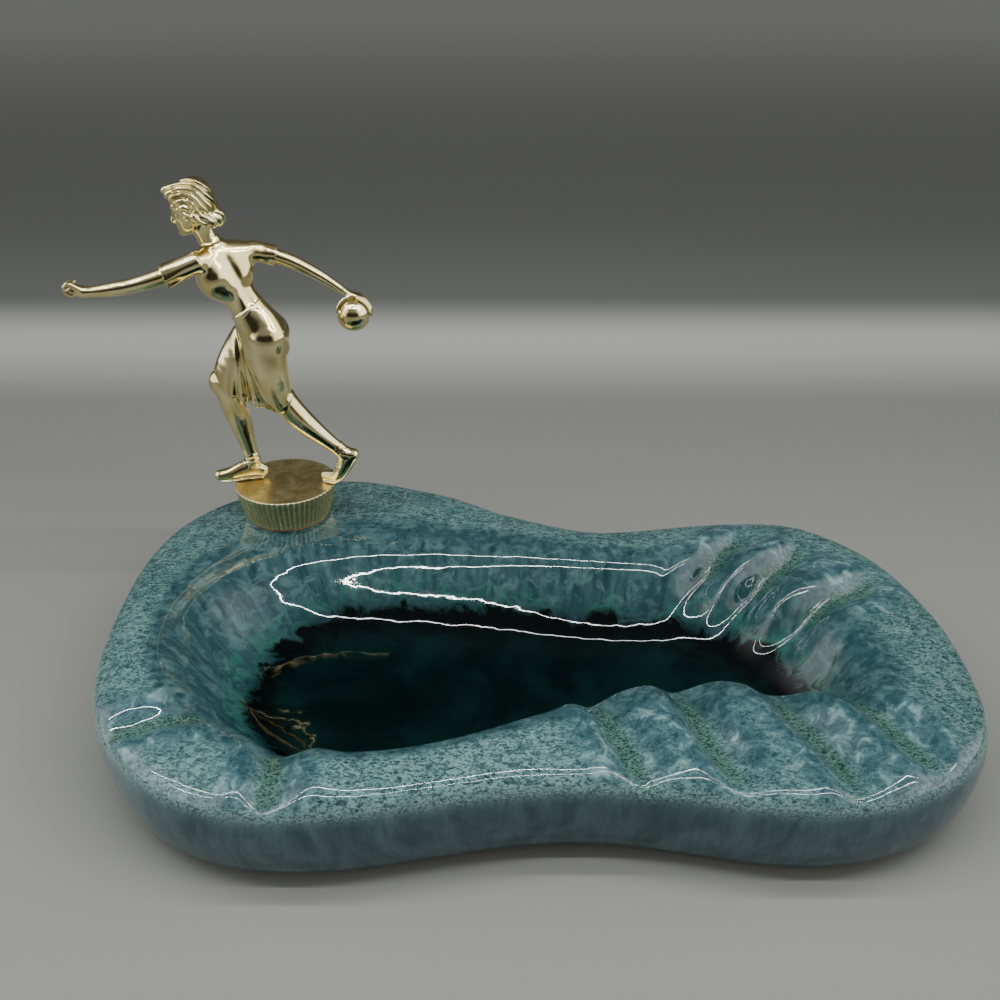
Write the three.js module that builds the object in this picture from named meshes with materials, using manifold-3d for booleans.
// A bowling trophy: a plated bowler on a fluted plinth, bolted through the back rim of a glazed ceramic dish.
// Millimetres, +Z up. The origin is on the table under the middle of the whole object's box,
// with +X along the dish, from the forward hand to the folded end, and +Y towards the back rim.

import * as THREE from "three";
import { mergeVertices } from "three/addons/utils/BufferGeometryUtils.js";
import Module from "manifold-3d";

const wasm = await Module();
wasm.setup();

// ---- Driving dimensions ----
const PAD_HEIGHT = 1; // felt pads lift the foot ring off the table
const PAD_RADIUS = 3.9;
const FOOT = { outer: 9.5, inner: 17.5 }; // the flat foot ring's edges, in from the outer wall
const RIM_HEIGHT = 34; // the rim's crest above the foot ring
const SHELL = 6; // ceramic wall
const AXIS_X = -83; // the stud's axis, through the back rim
const AXIS_Y = 61;
const STUD_RADIUS = 3.15; // 1/4 inch thread
const STUD_HOLE_RADIUS = 4;
const PLINTH = {
  top: 19.05,
  bottom: 15.9,
  height: 12.5,
  wall: 1.6,
  plate: 2,
  boss: 6,
  flutes: 60,
  flute: 0.35, // depth of a flute
  band: 0.6, // plain bands below and above the flutes
  rim: 0.9,
};
const GASKET = { radius: 15, height: 1 };
const SEAT = { flat: 17, blend: 27, above: 3, reach: 5 }; // the flattened patch of rim under the gasket
const BEARING = { radius: 12, depth: 8 }; // the flat boss under the seat, which the washers bear on
const GAP = 0.05; // between faces that rest on each other

const SEAT_Z = PAD_HEIGHT + RIM_HEIGHT;
const PLINTH_Z = SEAT_Z + GASKET.height + 2 * GAP;
const FIGURE_Z = PLINTH_Z + PLINTH.height;

// ---- Materials ----
function material(color, roughness, metalness) {
  return new THREE.MeshStandardMaterial({ color, roughness, metalness });
}

const GLAZE = material(0x3f6f74, 0.15, 0);
const GOLD_PLATE = material(0xcfc08a, 0.22, 1);
const STEEL = material(0x9a9c9e, 0.35, 1);
const CORK = material(0xa57f55, 0.9, 0);
const RUBBER = material(0x1c1c1d, 0.8, 0);
const FELT = material(0x20382c, 1, 0);

// ---- Solids ----
const trophy = new THREE.Group();

function solid(geometry) {
  const bare = geometry.index ? geometry.toNonIndexed() : geometry.clone();
  bare.deleteAttribute("normal");
  bare.deleteAttribute("uv");
  const merged = mergeVertices(bare, 1e-4);
  return new wasm.Manifold(
    new wasm.Mesh({
      numProp: 3,
      vertProperties: merged.attributes.position.array,
      triVerts: new Uint32Array(merged.index.array),
    }),
  );
}

function geometryOf(manifold) {
  const mesh = manifold.getMesh();
  const geometry = new THREE.BufferGeometry();
  geometry.setAttribute("position", new THREE.BufferAttribute(mesh.vertProperties, 3));
  geometry.setIndex(new THREE.BufferAttribute(mesh.triVerts, 1));
  geometry.computeVertexNormals();
  return geometry;
}

const joined = (geometries) => geometries.map(solid).reduce((all, one) => all.add(one));

function add(name, geometry, look, parent = trophy) {
  const mesh = new THREE.Mesh(geometry, look);
  mesh.name = name;
  parent.add(mesh);
  return mesh;
}

// A surface through rows of points, closed along each row, with a flat or pointed end at both ends.
function skin(rows) {
  const sides = rows[0].length;
  const positions = rows.flat().flatMap((p) => [p.x, p.y, p.z]);
  const faces = [];
  for (let r = 0; r + 1 < rows.length; r++) {
    for (let i = 0; i < sides; i++) {
      const a = r * sides + i;
      const b = r * sides + ((i + 1) % sides);
      faces.push(a, b, b + sides, a, b + sides, a + sides);
    }
  }
  const middles = [rows[0], rows[rows.length - 1]].map((row) => {
    const middle = row.reduce((sum, p) => sum.add(p), new THREE.Vector3()).divideScalar(sides);
    positions.push(middle.x, middle.y, middle.z);
    return positions.length / 3 - 1;
  });
  const last = (rows.length - 1) * sides;
  for (let i = 0; i < sides; i++) {
    const j = (i + 1) % sides;
    faces.push(middles[0], j, i);
    faces.push(middles[1], last + i, last + j);
  }
  const geometry = new THREE.BufferGeometry();
  geometry.setAttribute("position", new THREE.Float32BufferAttribute(positions, 3));
  geometry.setIndex(faces);
  return geometry;
}

function turned(profile, segments) {
  const geometry = new THREE.LatheGeometry(profile.map(([r, z]) => new THREE.Vector2(r, z)), segments);
  return geometry.rotateX(Math.PI / 2); // the lathe turns about Y
}

function extruded(shape, depth, curveSegments = 24) {
  return new THREE.ExtrudeGeometry(shape, { depth, bevelEnabled: false, curveSegments });
}

function disc(radius, height, hole, segments = 16) {
  const shape = new THREE.Shape();
  shape.absarc(0, 0, radius, 0, 2 * Math.PI);
  if (hole) shape.holes.push(new THREE.Path().absarc(0, 0, hole, 0, 2 * Math.PI));
  return extruded(shape, height, segments);
}

// ---- Splines: uniform cubic B-splines ----
function blend(p, f) {
  const weights = [
    (1 - f) ** 3,
    3 * f ** 3 - 6 * f ** 2 + 4,
    -3 * f ** 3 + 3 * f ** 2 + 3 * f + 1,
    f ** 3,
  ];
  const sum = new THREE.Vector3();
  weights.forEach((w, i) => sum.addScaledVector(p[i], w / 6));
  return sum;
}

function closedSpline(points, t) {
  const n = points.length;
  const at = t * n;
  const k = Math.floor(at);
  return blend([-1, 0, 1, 2].map((d) => points[(k + d + n) % n]), at - k);
}

// Passes through its first and last points.
function openSpline(points, s) {
  const last = points.length - 1;
  const mirrored = (end, inner) => end.clone().multiplyScalar(2).sub(inner);
  const padded = [mirrored(points[0], points[1]), ...points, mirrored(points[last], points[last - 1])];
  const k = Math.min(Math.floor(s), last - 1);
  return blend(padded.slice(k, k + 4), s - k);
}

// ---- The ceramic dish ----
// Plan stations, anticlockwise from the middle of the folded end:
// the outer wall, the basin's lip and its floor.
const STATIONS = [
  { outer: [146, -29], lip: [111, -41], floor: [92, -38] },
  { outer: [144.5, -1], lip: [111, -29], floor: [92, -34] },
  { outer: [139.5, 23], lip: [107, -13], floor: [88, -27] },
  { outer: [128, 45], lip: [99, 5], floor: [80, -18] },
  { outer: [109, 60], lip: [89, 19], floor: [70, -9] },
  { outer: [84, 62], lip: [75, 27], floor: [58, -2] },
  { outer: [58, 55], lip: [56, 28], floor: [44, 2] },
  { outer: [32, 52], lip: [34, 29], floor: [28, 4] },
  { outer: [8, 62], lip: [10, 35], floor: [8, 5] },
  { outer: [-18, 79], lip: [-14, 39], floor: [-12, 6] },
  { outer: [-45, 93], lip: [-40, 41], floor: [-34, 8] },
  { outer: [-74, 97], lip: [-68, 40], floor: [-54, 6] },
  { outer: [-102, 86], lip: [-90, 32], floor: [-66, 0] },
  { outer: [-122, 64], lip: [-104, 19], floor: [-73, -10] },
  { outer: [-132.5, 37], lip: [-110, 3], floor: [-77, -18] },
  { outer: [-132, 5], lip: [-111, -13], floor: [-78, -27] },
  { outer: [-131.5, -27], lip: [-107, -29], floor: [-77, -35] },
  { outer: [-124, -55], lip: [-98, -45], floor: [-72, -43] },
  { outer: [-106, -80], lip: [-86, -59], floor: [-64, -51] },
  { outer: [-80, -94], lip: [-70, -69], floor: [-54, -58] },
  { outer: [-50, -95], lip: [-46, -73], floor: [-38, -61] },
  { outer: [-18, -88], lip: [-18, -68], floor: [-16, -57] },
  { outer: [14, -82], lip: [10, -54], floor: [6, -47] },
  { outer: [46, -85], lip: [36, -42], floor: [28, -34] },
  { outer: [76, -93], lip: [61, -38], floor: [50, -30] },
  { outer: [105, -91], lip: [83, -42], floor: [68, -30] },
  { outer: [130, -78], lip: [98, -47], floor: [80, -34] },
  { outer: [144, -57], lip: [107, -48], floor: [86, -37] },
];
const FLOOR_MIDDLE = [4, -21];

// Rows from the middle of the floor out over the rim and down to the foot ring. "from" and "to" name two
// station outlines, "share" is how far along from one to the other, and "inset" moves it in
// from the outer wall.
const TOP_ROWS = [
  { from: "middle", to: "floor", share: 0.0, z: 7.5 },
  { from: "middle", to: "floor", share: 0.5, z: 7.8 },
  { from: "middle", to: "floor", share: 0.85, z: 9 },
  { from: "floor", to: "lip", share: 0.2, z: 12 },
  { from: "floor", to: "lip", share: 0.58, z: 21 },
  { from: "floor", to: "lip", share: 0.86, z: 31 },
  { from: "lip", to: "outer", share: 0.12, z: 34.4 },
  { from: "lip", to: "outer", share: 0.42, z: 34.2 },
  { from: "lip", to: "outer", inset: 9, z: 33.2 },
  { from: "lip", to: "outer", inset: 3.4, z: 31.8 },
  { from: "lip", to: "outer", inset: 1, z: 28.4 },
  { from: "lip", to: "outer", inset: 0, z: 20 },
  { from: "lip", to: "outer", inset: 2, z: 9 },
  { from: "lip", to: "outer", inset: 5, z: 3.5 },
  { from: "lip", to: "outer", inset: FOOT.outer, z: 0 },
];
const UNDER_ROWS = [
  { from: "lip", to: "outer", inset: FOOT.inner, z: 0 },
  { from: "lip", to: "outer", inset: 16.5, z: 5 },
  { from: "lip", to: "outer", inset: 10, z: 11 },
  { from: "lip", to: "outer", inset: 8.5, z: 22 },
  { from: "lip", to: "outer", inset: 13, z: 28.5 },
  { from: "lip", to: "outer", share: 0.5, z: RIM_HEIGHT - SHELL },
  { from: "lip", to: "outer", share: 0.3, z: RIM_HEIGHT - SHELL },
  { from: "lip", to: "outer", share: 0.1, z: 26 },
  { from: "floor", to: "lip", share: 0.8, z: 21.5 },
  { from: "floor", to: "lip", share: 0.5, z: 12 },
  { from: "floor", to: "lip", share: 0.15, z: 4.5 },
  { from: "middle", to: "floor", share: 0.7, z: 2 },
  { from: "middle", to: "floor", share: 0.0, z: 2 },
];

// Finger folds pressed across the rim, each a valley along a line in plan.
const FOLDS = [
  { from: [23, -47], to: [42, -91], width: 4.5, depth: 4 },
  { from: [49, -41], to: [66, -91], width: 4.5, depth: 4.5 },
  { from: [77, -44], to: [97, -93], width: 5, depth: 4.5 },
  { from: [98, -47], to: [122, -83], width: 6, depth: 2.5 },
  { from: [68, 22], to: [92, 49], width: 4.5, depth: 4 },
  { from: [84, 13], to: [112, 41], width: 5, depth: 4.5 },
  { from: [96, -5], to: [134, 21], width: 5.5, depth: 4 },
  { from: [-84, -53], to: [-122, -67], width: 5.5, depth: 4.5 },
  { from: [-66, -69], to: [-64, -97], width: 5.5, depth: 4 },
];

const smooth = (low, high, x) => THREE.MathUtils.smoothstep(x, low, high);

// How far down the folds press the rim at a point in plan.
function foldDepth(x, y) {
  let depth = 0;
  for (const fold of FOLDS) {
    const along = new THREE.Vector2(fold.to[0] - fold.from[0], fold.to[1] - fold.from[1]);
    const offset = new THREE.Vector2(x - fold.from[0], y - fold.from[1]);
    const share = offset.dot(along) / along.lengthSq();
    const across = offset.cross(along) / along.length();
    const reach = smooth(-0.35, 0, share) * (1 - smooth(0.7, 1.05, share));
    depth += fold.depth * reach * Math.exp(-((across / fold.width) ** 2));
  }
  return depth;
}

function rail(row) {
  return STATIONS.map((station) => {
    const outline = { ...station, middle: FLOOR_MIDDLE };
    const a = new THREE.Vector2(...outline[row.from]);
    const b = new THREE.Vector2(...outline[row.to]);
    const share = row.inset === undefined ? row.share : 1 - row.inset / a.distanceTo(b);
    const plan = a.lerp(b, share);
    return new THREE.Vector3(plan.x, plan.y, PAD_HEIGHT + row.z);
  });
}

function surfaceRows(rows, around, steps) {
  const rails = rows.map(rail);
  const made = [];
  for (let s = 0; s <= (rows.length - 1) * steps; s++) {
    const ring = [];
    for (let i = 0; i < around; i++) {
      ring.push(openSpline(rails.map((points) => closedSpline(points, i / around)), s / steps));
    }
    made.push(ring);
  }
  return made;
}

function pressFolds(point) {
  const onRim = smooth(PAD_HEIGHT + 14, PAD_HEIGHT + 31, point.z);
  point.z -= onRim * foldDepth(point.x, point.y);
  const fromAxis = Math.hypot(point.x - AXIS_X, point.y - AXIS_Y);
  const nearAxis = 1 - smooth(SEAT.flat, SEAT.blend, fromAxis);
  const onSeat = nearAxis * smooth(SEAT_Z - SEAT.reach, SEAT_Z - SEAT.above, point.z);
  point.z += onSeat * (SEAT_Z - GAP - point.z);
}

function dish() {
  const around = 76; // points in each row
  const top = surfaceRows(TOP_ROWS, around, 2);
  top.flat().forEach(pressFolds);
  const under = surfaceRows(UNDER_ROWS, around, 1);
  const middle = top.shift()[0];
  top[0].forEach((p) => p.setZ(middle.z));
  under.pop();
  const shell = solid(skin([...top, ...under].reverse()));
  const bearing = SEAT_Z - BEARING.depth;
  const boss = disc(BEARING.radius, BEARING.depth - 2, 0, 16).translate(AXIS_X, AXIS_Y, bearing);
  const hole = disc(STUD_HOLE_RADIUS, RIM_HEIGHT, 0, 10).translate(AXIS_X, AXIS_Y, bearing / 2);
  return geometryOf(shell.add(solid(boss)).subtract(solid(hole)));
}

// ---- The figure: castings made of tapered limbs ----
// Each limb is a row of stations [x, y, z, half width, half depth], from the middle of the
// plinth's top. The bowler faces -X.
function limb(stations, sides = 10, ends = ["round", "round"]) {
  const centres = stations.map(([x, y, z]) => new THREE.Vector3(x, y, z));
  const rings = [];
  const ring = (centre, tangent, width, depth) => {
    const side = Math.abs(tangent.y) > 0.9 ? new THREE.Vector3(0, 0, 1) : new THREE.Vector3(0, 1, 0);
    const across = new THREE.Vector3().crossVectors(side, tangent).normalize();
    const deep = new THREE.Vector3().crossVectors(tangent, across);
    return Array.from({ length: sides }, (_, i) => {
      const angle = (2 * Math.PI * i) / sides;
      return centre
        .clone()
        .addScaledVector(across, width * Math.cos(angle))
        .addScaledVector(deep, depth * Math.sin(angle));
    });
  };
  const cap = (i, tangent, way) => {
    const [width, depth] = stations[i].slice(3);
    const reach = Math.min(width, depth);
    return [0.55, 0.9].map((f) => {
      const centre = centres[i].clone().addScaledVector(tangent, way * reach * f);
      const scale = Math.sqrt(1 - f * f);
      return ring(centre, tangent, width * scale, depth * scale);
    });
  };
  const tangents = centres.map((_, i) => {
    const before = centres[Math.max(i - 1, 0)];
    const after = centres[Math.min(i + 1, centres.length - 1)];
    return after.clone().sub(before).normalize();
  });
  const last = stations.length - 1;
  if (ends[0] === "round") rings.push(...cap(0, tangents[0], -1).reverse());
  stations.forEach(([, , , width, depth], i) => rings.push(ring(centres[i], tangents[i], width, depth)));
  if (ends[1] === "round") rings.push(...cap(last, tangents[last], 1));
  return skin(rings);
}

const TORSO = [
  [-1.5, 0, 52.5, 7.4, 6.8],
  [-2.6, 0, 57.5, 8.6, 7.6],
  [-4.6, 0.3, 62.5, 7.8, 7.2],
  [-7.4, 0.6, 67.5, 6.0, 5.8],
  [-10.4, 0.6, 73, 7.2, 6.4],
  [-12.6, 0.6, 78.5, 9.2, 7.0],
  [-13.4, 0.8, 83.5, 9.4, 6.2],
  [-15.2, 0.8, 87.5, 6.4, 4.8],
];
const SHOULDERS = [
  [-20.5, -6.5, 86, 3.6, 3.8],
  [-12, 0.5, 86.6, 4.4, 4.6],
  [-2.5, 6.8, 85.4, 3.6, 3.8],
];
const NECK = [
  [-16.2, 0.8, 88, 4.4, 4.2],
  [-18.4, 0.4, 93, 3.3, 3.2],
  [-20.2, -0.2, 99, 3.4, 3.3],
];
const HEAD = [
  [-22.6, -0.8, 99.5, 4.4, 4.4],
  [-22.3, -0.8, 103.2, 6.5, 5.5],
  [-21.6, -0.8, 107.2, 6.9, 5.8],
];
const HAIR_ROLL = [
  [-18.6, -6, 101.2, 1.9, 1.9],
  [-14.6, -3, 99.8, 2.7, 2.7],
  [-13.8, 0.5, 99.8, 2.9, 2.9],
  [-15.4, 3.8, 100, 2.7, 2.7],
  [-19.8, 5.6, 101.4, 1.9, 1.9],
];
const NEAR_THIGH = [
  [-1.6, -2.4, 57.5, 7.4, 6.2],
  [-0.2, -3.6, 49, 6.6, 6.2],
  [0.6, -4, 41.5, 5.8, 5.6],
  [1.6, -4, 36.8, 5.0, 5.0],
];
const FAR_THIGH = [
  [-7, 4, 58, 6.0, 5.6],
  [-13, 5, 50, 6.2, 5.6],
  [-18, 5, 43, 5.8, 5.4],
  [-20.2, 4.6, 38.6, 5.2, 5.0],
];
const SKIRT_WEB = [
  [-5, 1, 55, 7, 5.6],
  [-7.4, 0.6, 46, 9, 5],
  [-8.6, 0.4, 38, 11.5, 4.6],
  [-8.6, 0.4, 34.4, 11.5, 4.4],
];
const NEAR_LEG = [
  [2, -4, 36.5, 4.4, 4.4],
  [7.8, -4, 28.4, 3.8, 3.9],
  [13.6, -3.6, 22.4, 3.2, 3.3],
  [18.2, -3.2, 17.4, 2.5, 2.6],
  [22, -3, 13.8, 2.3, 2.4],
  [24.8, -3, 11.2, 2.3, 2.3],
];
const NEAR_SHOE = [
  [26.4, -3, 12.2, 2.2, 2.3],
  [24.6, -3, 8.6, 2.9, 2.6],
  [22.4, -3, 5, 2.8, 2.7],
  [20.6, -2.6, 2.6, 2.0, 2.3],
];
const FAR_LEG = [
  [-20.2, 4.6, 37.5, 4.6, 4.6],
  [-17.8, 4.6, 30, 4.3, 4.4],
  [-15.4, 4.2, 22.6, 3.9, 4.1],
  [-13.8, 3.6, 15.6, 2.9, 3.1],
  [-12.4, 3, 9, 2.3, 2.5],
  [-11.6, 2.8, 4.5, 2.6, 2.6],
];
const FAR_SHOE = [
  [-9.6, 3, 2.7, 2.3, 2.3],
  [-13, 2.4, 3, 2.5, 2.4],
  [-18, 1, 2.6, 2.2, 2.6],
  [-22.6, -0.4, 2, 1.7, 2.3],
];
const NEAR_TOE = [
  [20.2, -1.6, 2.2, 1.7, 1.9],
  [16.2, 0.4, 1.6, 1.5, 1.6],
];
const FORWARD_ARM = [
  [-32.3, -10.4, 81.9, 2.9, 2.9],
  [-38, -11.4, 80.4, 2.7, 2.7],
  [-46, -12.4, 78.8, 2.6, 2.6],
  [-56, -13, 77.8, 1.8, 1.9],
  [-60.2, -13, 78.3, 2.4, 2.7],
  [-62, -13, 79.4, 2.3, 2.7],
];
const FORWARD_SLEEVE = [
  [-19.5, -6.6, 86, 3.7, 3.7],
  [-31.5, -10.2, 82.2, 3.4, 3.4],
];
const BALL_ARM = [
  [3.8, 8.2, 83.7, 2.6, 2.6],
  [12, 10, 79.4, 2.4, 2.4],
  [18.6, 10.4, 75.2, 2.0, 2.0],
  [25, 10, 70.8, 1.4, 1.6],
  [27.6, 9.6, 69.6, 1.5, 2.2],
];
const BALL_SLEEVE = [
  [-3, 6.8, 85.6, 3.6, 3.6],
  [3, 8, 84, 3.1, 3.1],
];
const BALL = { centre: [28.5, 9, 62.6], radius: 6.1 };
const FOOT_PEGS = { front: [-12.5, 2.6], rear: [15.2, 0.6] }; // in plan from the plinth's axis
const PEG = { radius: 1.1, buried: 1.8, below: 3.2 };
const PEG_CLEARANCE = 0.15;

const pegHole = ([x, y]) => disc(PEG.radius + PEG_CLEARANCE, PEG.buried + 8, 0, 8).translate(x, y, -8);

function bowler() {
  const limbs = [TORSO, SHOULDERS, NECK, HEAD, HAIR_ROLL, NEAR_THIGH, FAR_THIGH, SKIRT_WEB];
  limbs.push(NEAR_LEG, NEAR_SHOE, NEAR_TOE, FAR_LEG, FAR_SHOE);
  const sleeves = [FORWARD_SLEEVE, BALL_SLEEVE].map((stations) => limb(stations, 10, ["round", "flat"]));
  const below = new THREE.BoxGeometry(80, 40, 10).translate(0, 0, GAP - 5);
  let body = joined([...limbs.map((stations) => limb(stations)), ...sleeves]).subtract(solid(below));
  for (const at of Object.values(FOOT_PEGS)) body = body.subtract(solid(pegHole(at)));
  return geometryOf(body);
}

function plinth() {
  const { top, bottom, height, wall, plate, boss, flutes, flute, band, rim } = PLINTH;
  const perFlute = 2;
  const sides = flutes * perFlute;
  const fluted = (radius, z, depth) =>
    Array.from({ length: sides }, (_, i) => {
      const angle = (2 * Math.PI * i) / sides;
      const r = radius - (i % perFlute === 0 ? depth : 0);
      return new THREE.Vector3(r * Math.cos(angle), r * Math.sin(angle), z);
    });
  const rows = [fluted(bottom, 0, 0), fluted(bottom, band, flute)];
  rows.push(fluted(top, height - rim, flute), fluted(top, height, 0));
  const outside = solid(skin(rows));
  const ceiling = height - plate;
  const inside = turned([[0, -1], [bottom - wall, -1], [top - wall, ceiling], [0, ceiling]], 36);
  const post = disc(boss, height - plate, 0, 20).translate(0, 0, GAP);
  let body = outside.subtract(solid(inside).subtract(solid(post)));
  body = body.subtract(solid(disc(STUD_RADIUS + 0.1, height - plate, 0, 20).translate(0, 0, -0.5)));
  for (const at of Object.values(FOOT_PEGS)) {
    body = body.subtract(solid(pegHole(at).translate(0, 0, height)));
  }
  return geometryOf(body);
}

const peg = () => disc(PEG.radius, PEG.buried + PEG.below - 2 * GAP, 0, 8).translate(0, 0, GAP - PEG.below);

function ball() {
  // Cut back where the arm's palm lies on it.
  const sphere = solid(new THREE.SphereGeometry(BALL.radius, 20, 12).translate(...BALL.centre));
  const seam = 0.3; // clearance filled by the solder
  const hand = limb(BALL_ARM.map(([x, y, z, w, d]) => [x, y, z, w + seam, d + seam]));
  return geometryOf(sphere.subtract(solid(hand)));
}

// ---- Fasteners ----
const WASHER_HOLE = STUD_RADIUS + 0.25;
const RUBBER_WASHER = { radius: 10, height: 2 };
const STEEL_WASHER = { radius: 9, height: 1.2 };
const LOCK_WASHER = { radius: 5.4, height: 1.5, split: 1 };
const NUT = { flats: 11.1, height: 5.5 };
const STUD = { above: 9.5, below: 5 }; // past the plinth's foot, and past the nut

const washer = ({ radius, height }) => disc(radius, height, WASHER_HOLE);

function lockWasher() {
  const ring = solid(washer(LOCK_WASHER));
  const slot = new THREE.BoxGeometry(LOCK_WASHER.radius, LOCK_WASHER.split, 4);
  slot.translate(LOCK_WASHER.radius / 2 + 1.5, 0, 0).rotateX(0.5);
  return geometryOf(ring.subtract(solid(slot)));
}

function hexNut() {
  const corner = NUT.flats / Math.sqrt(3);
  const shape = new THREE.Shape();
  for (let i = 0; i < 6; i++) {
    const angle = (Math.PI * i) / 3;
    const point = [corner * Math.cos(angle), corner * Math.sin(angle)];
    if (i) shape.lineTo(...point);
    else shape.moveTo(...point);
  }
  shape.holes.push(new THREE.Path().absarc(0, 0, STUD_RADIUS + 0.1, 0, 2 * Math.PI));
  return extruded(shape, NUT.height);
}

function stud(bottom) {
  const top = PLINTH_Z + STUD.above;
  const chamfer = 0.8;
  const r = STUD_RADIUS;
  const lower = [[0, bottom], [r - chamfer, bottom], [r, bottom + chamfer]];
  const upper = [[r, top - chamfer], [r - chamfer, top], [0, top]];
  return turned([...lower, ...upper], 24);
}

// ---- Assembly ----
add("ceramic_dish", dish(), GLAZE);

// A felt pad under each lobe, back and front, on the foot ring at the named station.
const PAD_STATIONS = { back_left: 11, back_right: 5, front_left: 19, front_right: 25 };
const footRing = rail({ from: "lip", to: "outer", inset: (FOOT.outer + FOOT.inner) / 2, z: 0 });
for (const [place, station] of Object.entries(PAD_STATIONS)) {
  const spot = closedSpline(footRing, station / STATIONS.length);
  add(`felt_pad_${place}`, disc(PAD_RADIUS, PAD_HEIGHT - GAP), FELT).position.set(spot.x, spot.y, 0);
}

const onAxis = new THREE.Group();
onAxis.position.set(AXIS_X, AXIS_Y, 0);
trophy.add(onAxis);

const gasket = disc(GASKET.radius, GASKET.height, STUD_HOLE_RADIUS);
add("plinth_gasket", gasket, CORK, onAxis).position.z = SEAT_Z + GAP;
add("plinth", plinth(), GOLD_PLATE, onAxis).position.z = PLINTH_Z;

const stack = [
  ["rubber_washer", washer(RUBBER_WASHER), RUBBER, RUBBER_WASHER.height],
  ["steel_washer", washer(STEEL_WASHER), STEEL, STEEL_WASHER.height],
  ["lock_washer", lockWasher(), STEEL, LOCK_WASHER.height],
  ["hex_nut", hexNut(), STEEL, NUT.height],
];
let level = SEAT_Z - BEARING.depth;
for (const [name, geometry, look, height] of stack) {
  level -= height + GAP;
  add(name, geometry, look, onAxis).position.z = level;
}
add("mounting_stud", stud(level - STUD.below), STEEL, onAxis);

const figure = new THREE.Group();
figure.position.z = FIGURE_Z;
onAxis.add(figure);
add("bowler_body", bowler(), GOLD_PLATE, figure);
add("forward_arm", limb(FORWARD_ARM, 10, ["flat", "round"]), GOLD_PLATE, figure);
add("ball_arm", limb(BALL_ARM, 10, ["flat", "round"]), GOLD_PLATE, figure);
add("bowling_ball", ball(), GOLD_PLATE, figure);
for (const [foot, [x, y]] of Object.entries(FOOT_PEGS)) {
  add(`${foot}_foot_peg`, peg(), STEEL, figure).position.set(x, y, 0);
}

export default trophy;
